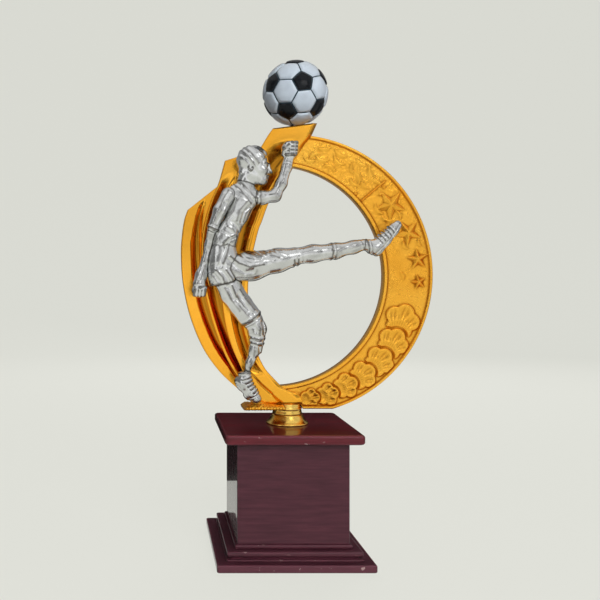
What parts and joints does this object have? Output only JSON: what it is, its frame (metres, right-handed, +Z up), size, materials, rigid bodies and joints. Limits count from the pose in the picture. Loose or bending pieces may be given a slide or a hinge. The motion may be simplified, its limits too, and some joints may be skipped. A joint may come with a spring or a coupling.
{
  "type": "figure trophy",
  "caption": "Award with a silver football player kicking inside a gold ring with fanned blades, a football on top and a square lacquered wood plinth.",
  "frame": {"origin": "centre of the underside of the plinth", "axes": "+Z up, -Y towards the viewer that the player faces sideways to, +X the way the player kicks"},
  "size_m": [0.2144, 0.125, 0.4134],
  "materials": {
    "felt": "matt felt",
    "mahogany": "high gloss lacquer",
    "raw_wood": "plain, unfinished",
    "steel": "zinc plated",
    "gold": "polished gold plate",
    "gold_satin": "satin gold plate with a pebbled ground",
    "silver": "polished silver plate, dark in the hollows",
    "ball_paint": "gloss white with black patches"
  },
  "bodies": {
    "root": {"base_felt": "felt", "base_slab": "mahogany", "step_block": "mahogany", "foot_bead": "mahogany", "pillar_front": "mahogany", "pillar_rear": "mahogany", "pillar_left": "mahogany", "pillar_right": "mahogany", "corner_blocks": "raw_wood", "cap_slab": "mahogany", "base_screws": "steel", "tie_rod": "steel", "rod_washer": "steel", "rod_nut": "steel", "neck_flange": "gold", "neck_collar": "gold", "ground_mound": "gold", "ring_band": "gold_satin", "blade_outer": "gold", "blade_middle": "gold", "blade_inner": "gold", "rear_brace": "gold_satin", "brace_screws": "steel", "blade_rivets": "gold", "ball_stud": "steel", "ball_lower": "ball_paint", "ball_upper": "ball_paint", "head": "silver", "torso": "silver", "shorts": "silver", "raised_arm": "silver", "lowered_arm": "silver", "kicking_leg": "silver", "kicking_boot": "silver", "standing_leg": "silver", "standing_boot": "silver", "figure_studs": "steel"}
  },
  "joints": []
}
